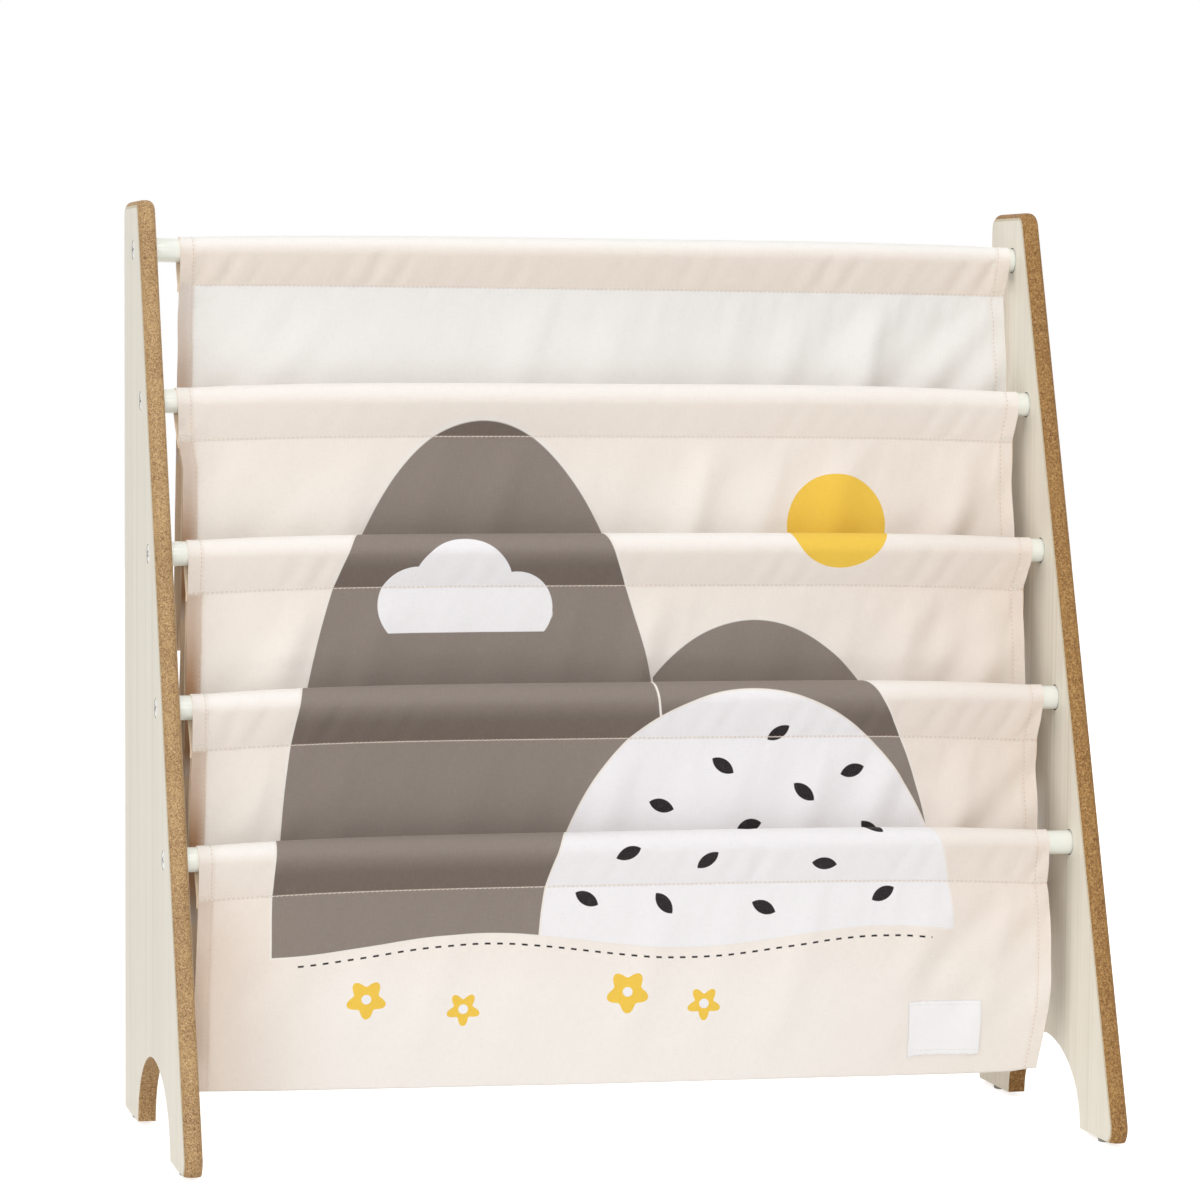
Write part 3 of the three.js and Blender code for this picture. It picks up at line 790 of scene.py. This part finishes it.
def arcLength(points):
    return np.concatenate([[0], np.cumsum(np.linalg.norm(np.diff(points, axis=0), axis=1))])


def midSpan(grid):
    return grid[:, grid.shape[1] // 2]


def bothSides(*fields):
    # three fields of a sheet's grid as one vector at each point of its outer and inner side
    return np.tile(np.stack(np.broadcast_arrays(*fields), axis=-1).reshape(-1, 3), (2, 1))


canvasLook = {
    # painted light in these colours: the sleeve colour and the darker sleeve grey are painted shade on a sleeve's
    # lower front, the whitest one is a painted highlight, and shade and hemShade are painted shade
    **paints(ground=(247, 238, 230), sleeve=(241, 230, 220), wall=(241, 239, 237), bright=(255, 253, 250),
             white=(248, 246, 249), grey=(144, 133, 125), sleeveGrey=(118, 106, 98), black=(36, 29, 33),
             yellow=(248, 206, 80), outline=(246, 240, 234), shade=(214, 180, 152), hemShade=(174, 135, 102),
             inner=(246, 224, 198)),
    # leaves: middle across and down, and lean; flowers: middle and half width
    "leaves": [(-22, 478, 0.5), (4, 446, -0.4), (30, 482, 0.9), (28, 410, 0.3), (58, 452, -0.7), (70, 384, 0.6),
               (88, 424, -0.2), (98, 486, 0.4), (108, 362, -0.6), (126, 402, 0.7), (138, 456, 0.1), (160, 388, -0.3),
               (172, 428, 0.8), (180, 478, -0.5)],
    "flowers": [(-168, 541, 11), (-104, 549, 9), (6, 540, 12), (58, 549, 9)],
    # discs and ellipses: middle across and down, half width, half height
    "cloud": [(-138, 268, 27), (-108, 256, 34), (-72, 270, 25), (-105, 274, 58, 18)],
    "sun": (150, 208, 35), "farHill": (92, 505, 128, 226), "nearHill": (-96, 505, 134, 368),
    "field": (88, 520, 142, 188), "cloudBase": 286, "shore": 505, "pathReach": 214, "dash": 8.2,
}


def printColor(finish, x, p, s):
    # a made-up landscape: two hills, a sun, a cloud, a pale hill with short strokes, a wavy line and flowers, drawn
    # by distance from each outline; x runs along the rods, p down the visible cloth and s down from the seam, all
    # in millimetres
    look = canvasLook

    def disc(cx, cp, wide, high=None):
        high = high or wide
        return ((((x - cx) / wide) ** 2 + ((p - cp) / high) ** 2).root() - 1) * min(wide, high)

    def ink(distance):
        return ((0.2 - distance) / 0.4).clipped()

    def leaf(cx, cp, lean):
        # two arcs that meet in points: the part that two equal discs share
        c, s = np.cos(lean), np.sin(lean)
        u, v = (x - cx) * c + (p - cp) * s, (p - cp) * c - (x - cx) * s
        return (u * u + (v.size() + 6.4) ** 2).root() - 10.8

    def flower(cx, cp, large):
        # five petals
        return disc(cx, cp, large) - ((p - cp).math("ARCTAN2", x - cx) * 5).sin() * 2.4

    def nearest(shapes):
        return functools.reduce(Wire.lower, shapes)

    # painted shade: the front panel's left corner, darker as the left side panel's shadow, and the right part of the
    # walls
    corner = (1 - x.step(-340, -170)) * p.step(440, 520)
    rightPart = x.step(90, 280) * p.step(110, 220) * (1 - p.step(400, 470) * 0.5)
    # the ground with painted light on it: a painted shade on the top sleeve's front below its top, a painted
    # highlight over each sleeve's top and back, the cloth painted lighter further below each seam against the shade
    # of the pockets, and the painted shade of the corner and right part
    ground = finish.layered(
        look["bright"],
        (p.step(5, 15), look["sleeve"]),
        (s.step(-0.4, 0.4), look["wall"]),
        (p.step(112, 124), look["ground"]),
        (s.step(4, 80) * 0.5 + (1 - s.step(-36, -22)) * 0.75, look["bright"]),
        (corner * 0.6 + rightPart * 0.2, look["shade"]),
    )
    # the grey ink in a painted shade on a sleeve's lower front
    grey = finish.mix(s.step(-30, -12) * (1 - s.step(-1, 1)), look["grey"], look["sleeveGrey"])
    shore = look["shore"] + (x / 44 + 0.5).sin() * 6
    farHill, nearHill, field = [disc(*look[name]).higher(p - shore) for name in ("farHill", "nearHill", "field")]
    cloud = nearest(disc(*bank) for bank in look["cloud"]).higher(p - look["cloudBase"])
    dashes = ((x * (2 * np.pi / look["dash"])).sin() - 0.1).step(-0.25, 0.25)
    path = (p - shore - 7).size() - 0.65
    return finish.layered(
        ground,
        (ink(disc(*look["sun"])), look["yellow"]),
        (ink(farHill - 0.9), look["outline"]), (ink(farHill), grey),
        (ink(nearHill - 1.4), look["outline"]), (ink(nearHill), grey),
        (ink(cloud), look["white"]),
        (ink(field - 1.2), look["outline"]), (ink(field), look["white"]),
        (ink(nearest(leaf(*place) for place in look["leaves"])), look["black"]),
        (ink(path) * dashes * ink(x.size() - look["pathReach"]), look["black"]),
        (ink(nearest(flower(*place) for place in look["flowers"])), look["yellow"]),
        (ink(nearest(disc(cx, cp, 3.2) for cx, cp, large in look["flowers"])), look["white"]),
    )


def canvasFinish(name, printed):
    # fine plain weave: crossed threads, slubs and a speckle of lighter and darker yarn, with the print on one face
    finish = Finish(name)
    look = canvasLook
    x, s, edge = finish.parts(finish.attribute("clothPlace"))
    flat = finish.flat(x, s)
    weave = (x * (2 * np.pi / 0.62)).sin() * (s * (2 * np.pi / 0.56)).sin()
    slub = finish.noise(flat, (0.15, 2.4, 1), 3.0)
    slubUp = finish.noise(flat, (2.2, 0.13, 1), 3.0)
    speckle = finish.noise(flat, 1.7, 3.0, 0.7)
    # double cloth at the hems, painted a touch darker as shade, and the turned edge's line and the needle's dents
    # along seam and hem, painted as thin lines of shade; below the seams the left hem is painted darker still, as the
    # left panel's shadow
    wander = (slub - 0.5) * 1.6
    hem = 1 - (edge + wander).step(9.3, 10.5)
    inward = (1 - (edge + wander).step(3, 14)) * 0.45 + hem * 0.30
    below = s.step(-1, 2) * (1 - s.step(98, 125) * 0.8)
    leftHemShadow = inward * (0 - x).step(100, 101) * (below * (0.46 + s.step(4, 80) * 0.45) + 0.03)
    color = look["inner"]
    if printed:
        px, p, shown = finish.parts(finish.attribute("printPlace"))
        color = finish.mix(shown, color, printColor(finish, px, p, s))
        leftHemShadow = leftHemShadow * (1 + p.step(150, 260) * 0.55 - p.step(440, 500) * 1.1)
    thread = (speckle - 0.5) * 0.16 + (slub + slubUp - 1.0) * 0.12 + weave * 0.012
    turnedEdge = (1 - (edge + wander * 0.5 - 10.1).size().step(0.1, 0.6)) * 0.10
    seamDent = (1 - s.size().step(0.3, 1.1)) * ((x * (2 * np.pi / 3.1)).sin().step(-0.4, 0.4) * 0.7 + 0.2)
    hemDent = 1 - (edge - cloth["hemInset"]).size().step(0.2, 0.75)
    hemDent = hemDent * ((s * (2 * np.pi / 3.0)).sin() - 0.1).step(-0.3, 0.5)
    color = finish.layered(
        color,
        ((0 - thread).clipped() * 1.6, (0.10, 0.075, 0.06, 1)),
        (thread.clipped() * 0.9, (1.0, 1.0, 1.0, 1)),
        (leftHemShadow, look["hemShade"]),
        (hem * 0.03, look["shade"]),
        ((turnedEdge + seamDent * 0.5 + hemDent * 0.18).clipped(), look["shade"]),
    )
    ripple = hem * finish.noise(flat, (0.12, 0.30, 1), 2.0) * 0.8
    height = weave * 0.05 + (slub + slubUp) * 0.22 - seamDent * 0.5 - hemDent * 0.3 + ripple
    return finish.surface(Base_Color=color, Roughness=0.80 + speckle * 0.15, Normal=finish.bump(height, 0.00045, 0.8),
                          Sheen_Weight=0.06, Sheen_Roughness=0.5, Specular_IOR_Level=0.25)


def threadFinish(name, color):
    # sewing thread: painted darker in the grooves of its twist, as shade there
    finish = Finish(name)
    twist = finish.noise(finish.place(), 2600, 2.0)
    return finish.surface(Base_Color=finish.mix(twist.step(0.3, 0.7), dimmed(color, 0.8), color),
                          Roughness=0.65 + twist * 0.2, Normal=finish.bump(twist, 0.0002, 0.6))


printedCanvas = canvasFinish("printed canvas", True)
plainCanvas = canvasFinish("plain canvas", False)
seamThread = threadFinish("white thread", toLinear(250, 247, 242))
hemThread = threadFinish("blush thread", toLinear(234, 212, 196))


# The print: how far it reaches below the seam on a pocket's wall and on the front panel, how far it moves over for
# each millimetre that a rod stands further forward, its shift, and how much lower than the sleeve's top the line of
# sight over it meets the wall behind: for the top rod, and more for each rod below.
printing = {"wall": 118, "frontPanel": 400, "lean": 0.245, "shift": 22, "sightDrop": 0.7, "sightMore": 0.9}


def addCanvas(k, grid, seamRow, printStart):
    rows, columns = grid.shape[:2]
    normal = outward(grid)
    share = acrossShare()[None, :]
    edge = np.minimum(share, 1 - share) * cloth["width"]
    hemmed = cloth["hemStep"] * (1 - smoothStep(edge, cloth["hemWidth"] - 0.3, cloth["hemWidth"] + 0.3))
    half = cloth["thickness"] / 2
    outside, inside = grid + normal * half, grid - normal * (half + hemmed[..., None])
    s = arcLength(midSpan(grid))
    fromSeam = (s - s[seamRow])[:, None]
    p = printStart + fromSeam - (s[np.argmax(midSpan(grid)[:, 2])] - s[seamRow])
    reach = printing["wall" if k else "frontPanel"]
    shown = smoothStep(p, printStart - 14, printStart - 13) * (1 - smoothStep(fromSeam, reach, reach + 1))
    printX = grid[..., 0] + printing["lean"] * (rodPlaces[4][0] - rodPlaces[k][0]) - printing["shift"]
    vertices, faces = sheetShell(outside, inside)
    plain = np.arange(len(faces)) >= (rows - 1) * (columns - 1)
    names = [f"sleeve_{k + 1}", f"pocket_{k}" if k else "front_panel"]
    piece = addPiece(f"canvas_{k + 1}", vertices, faces, [printedCanvas, plainCanvas], "canvas", plain, names,
                     {"clothPlace": bothSides(grid[..., 0], fromSeam, edge),
                      "printPlace": bothSides(printX, p, shown)}, sharp=70)
    return piece, outside, normal


# each kind of stitch: its step, length, radius and slant in degrees
stitches = {"seam": (3.1, 3.0, 0.26, 7), "seamEnd": (3.0, 2.7, 0.24, 4), "hem": (3.0, 1.7, 0.17, 0),
            "patch": (2.4, 2.0, 0.17, 0)}
endPoints = 7  # of a row, at either end of a seam, where it is sewn over twice more


def stitchLine(line, normals, kind, start, end):
    # stitches at even steps along a line of points, turned by their slant and lying in the cloth's surface
    step, length, radius, slant = stitches[kind]
    distance = arcLength(line)
    at = np.arange(start, distance[-1] - end, step)

    def sampled(values, at):
        return np.stack([np.interp(at, distance, values[:, i]) for i in range(3)], axis=-1)

    direction = unit(sampled(line, at + 0.5) - sampled(line, at - 0.5))
    out = sampled(normals, at)
    out = unit(out - direction * np.sum(out * direction, axis=-1, keepdims=True))
    turn = np.radians(slant)
    leaned = direction * np.cos(turn) + np.cross(out, direction) * np.sin(turn)
    return capsules(sampled(line, at) + out * radius * 0.1, leaned, np.cross(out, leaned), length, radius)


def addThread(name, lines, material, slot):
    shell = Shell(*lines)
    return addPiece(name, shell.points, shell.faces, [material], slot, sharp=80)


printStart = 0.0
sheets = {}
for k in range(4, -1, -1):
    grid, sleeveRows = clothPath(k)
    seamRow = sleeveRows - 1
    piece, outside, normal = addCanvas(k, grid, seamRow, printStart)
    columns = grid.shape[1]
    hemColumn = int(np.argmin(np.abs(acrossShare() * cloth["width"] - cloth["hemInset"])))
    lines = [stitchLine(outside[seamRow], normal[seamRow], "seam", 2, 2)]
    for first in (1, columns - 1 - endPoints):
        short = slice(first, first + endPoints)
        lines += [stitchLine(outside[row, short], normal[row, short], "seamEnd", 2, 1)
                  for row in (seamRow - 1, seamRow - 2)]
    seam = addThread(f"seam_thread_{k + 1}", lines, seamThread, "canvas")
    lines = [stitchLine(outside[:, c], normal[:, c], "hem", 3, 3) for c in (hemColumn, columns - 1 - hemColumn)]
    hem = addThread(f"hem_thread_{k + 1}", lines, hemThread, "canvas")
    s = arcLength(midSpan(grid))
    sheets[k] = {"piece": piece, "outside": outside, "normal": normal, "seamRow": seamRow, "threads": [seam, hem],
                 "length": s[-1]}
    if k:
        # the print goes on where the sleeve below hides this wall from the front
        topOfNext = rodPlaces[k - 1][1] + cloth["innerRadius"] + cloth["thickness"] + canvases[k - 1]["rise"][0]
        hidden = topOfNext - printing["sightDrop"] - printing["sightMore"] * (4 - k)
        heights = midSpan(grid)[:, 2]
        wall = slice(seamRow, seamRow + cloth["easeRows"][0])
        printStart += np.interp(-hidden, -heights[wall], s[wall]) - s[np.argmax(heights)]
print("canvas hung")

for k, sheet in sheets.items():
    resting = [f"rod_{k + 1}_tube"] + ([f"rod_{k}_tube"] if k else [])
    round(sheet["length"] * mm, 3)


patch = {"left": 187.4, "width": 50.6, "top": 87.0, "height": 37.0, "thickness": 0.6, "columns": 70, "rows": 44,
         "wallRows": 52, "sewnRows": (3, -5)}


def patchFinish():
    # woven tape: a twill of fine ribs, brightest along them
    finish = Finish("white tape")
    x, s, edge = finish.parts(finish.attribute("clothPlace"))
    rib = ((x + s * 0.55) * (2 * np.pi / 0.9)).sin()
    cross = (s * (2 * np.pi / 0.55)).sin()
    cloud = finish.noise(finish.flat(x, s), 0.9, 3.0)
    tone = (rib * 0.12 + cross * 0.08 + cloud * 0.7).step(-0.1, 0.7)
    color = finish.mix(tone, toLinear(244, 243, 248), toLinear(255, 255, 255))
    color = finish.mix((1 - edge.step(0.1, 0.8)) * 0.45, color, toLinear(218, 212, 210))
    normal = finish.bump(rib * 0.3 + cross * 0.2 + cloud * 0.5, 0.0001, 0.6)
    return finish.surface(Base_Color=color, Roughness=0.75 + cloud * 0.15, Normal=normal, Specular_IOR_Level=0.3)


def addPatch():
    sheet = sheets[0]
    wall = slice(sheet["seamRow"], sheet["seamRow"] + patch["wallRows"])
    surface, out = sheet["outside"][wall], sheet["normal"][wall]
    u = np.linspace(0, 1, patch["columns"])[None, :]
    v = np.linspace(0, 1, patch["rows"])[:, None]
    # frayed lower edge: short ends of yarn, longer and shorter along it
    fray = 0.5 * waves(u * patch["width"], (1.9, 2.6, 4.1, 9.0), 5)
    x = patch["left"] + u * (patch["width"] - 0.9 * v ** 2) + v + 0.35 * np.sin(v * 3)
    height = patch["top"] - v * (patch["height"] + fray * smoothStep(v, 0.93, 1)) + 0.2 * np.sin(u * 5)
    height = height - 1.4 * smoothStep(v, 0.6, 1) * (1 - smoothStep(u, 0, 0.16))
    x, height = np.broadcast_arrays(x, height)
    zLine = surface[:, :, 2]
    xLine = surface[len(surface) // 2, :, 0]
    columnAt = np.interp(x, xLine, np.arange(len(xLine)))
    low = np.clip(columnAt.astype(int), 0, len(xLine) - 2)
    part = (columnAt - low)[..., None]

    def sample(field):
        # down each column of the cloth first, then across between the two nearest columns
        columns = range(low.min(), low.max() + 2)
        down = np.array([[np.interp(-height, -zLine[:, c], field[:, c, i]) for i in range(3)] for c in columns])
        first = (low - low.min())[None, None]
        near = np.take_along_axis(down, first, axis=0)[0]
        far = np.take_along_axis(down, first + 1, axis=0)[0]
        return np.moveaxis(near, 0, -1) * (1 - part) + np.moveaxis(far, 0, -1) * part

    base, lift = sample(surface), unit(sample(out))
    base[..., 0] = x
    puff = (0.5 * np.sin(np.pi * u) * np.sin(np.pi * v) + 0.25 * smoothStep(v, 0.8, 1))[..., None]
    top, under = base + lift * (0.15 + patch["thickness"] + puff), base + lift * (0.12 + 0.7 * puff)
    edge = np.minimum(np.minimum(u, 1 - u) * patch["width"], np.minimum(v, 1 - v) * patch["height"])
    vertices, faces = sheetShell(top, under)
    piece = addPiece("sewn_patch", vertices, faces, [patchFinish()], "patch", replaces=["blank_patch"],
                     attributes={"clothPlace": bothSides(x, -height, edge)}, sharp=60)
    lines = [stitchLine(top[row], lift[row], "patch", 2, 2) for row in patch["sewnRows"]]
    thread = addThread("patch_thread", lines, seamThread, "patch")


addPatch()
print("patch sewn on")


light = {"sky": 0.48, "skyColor": (1.0, 0.955, 0.905, 1), "floorGlow": 0.75, "aim": (0, 0, 0.3),
         "lampColor": (0.97, 0.988, 1.0), "white": (1, 1, 1, 1)}
# each lamp is a disc: its place, its diameter in metres and its power in watts
lamps = {
    "key lamp": ((-0.8, -2.7, 3.1), 1.1, 25),
    "side lamp": ((-2.4, -2.2, 1.4), 1.6, 13),
    "front lamp": ((-0.85, -3.3, 1.0), 1.2, 23),
    "top lamp": ((0.4, -0.3, 2.6), 1.4, 8),
    "left back lamp": ((-1.0, 2.5, 1.7), 2.0, 9),
    "right back lamp": ((1.0, 2.5, 1.7), 2.0, 9),
}


def floorFinish():
    # a pale floor that takes shadows, with a glow that lifts it to the white behind
    finish = Finish("studio floor")
    grain = finish.noise(finish.place(), 8, 2.0)
    color = finish.mix(grain * 0.3, (0.86, 0.86, 0.86, 1), (0.84, 0.84, 0.84, 1))
    shader = finish.node("ShaderNodeBsdfPrincipled", sockets={"Base Color": color, "Roughness": 0.9})
    glow = finish.behindCamera() * light["floorGlow"]
    glow = finish.node("ShaderNodeEmission", sockets={"Color": light["white"], "Strength": glow})
    return finish.show(finish.node("ShaderNodeAddShader", sockets={0: shader, 1: glow}))


floorMesh = bpy.data.meshes.new("floor")
floorMesh.from_pydata([(-6, -5, 0), (6, -5, 0), (6, 7, 0), (-6, 7, 0)], [], [(0, 1, 2, 3)])
floorMesh.materials.append(floorFinish())
floor = inScene("floor", floorMesh)

world = bpy.data.worlds.new("studio")
bpy.context.scene.world = world
sky = Finish("studio", world)
white = sky.node("ShaderNodeBackground", sockets={"Color": light["white"], "Strength": 1.0})
soft = sky.node("ShaderNodeBackground", sockets={"Color": light["skyColor"], "Strength": light["sky"]})
sky.show(sky.node("ShaderNodeMixShader", sockets={0: sky.behindCamera(), 1: soft, 2: white}))

for name, (place, size, power) in lamps.items():
    lamp = bpy.data.lights.new(name, "AREA")
    lamp.shape, lamp.size, lamp.energy, lamp.color = "DISK", size, power, light["lampColor"]
    facing = (Vector(light["aim"]) - Vector(place)).to_track_quat("-Z", "Y")
    inScene(name, lamp).matrix_world = Matrix.Translation(place) @ facing.to_matrix().to_4x4()
print("light set")
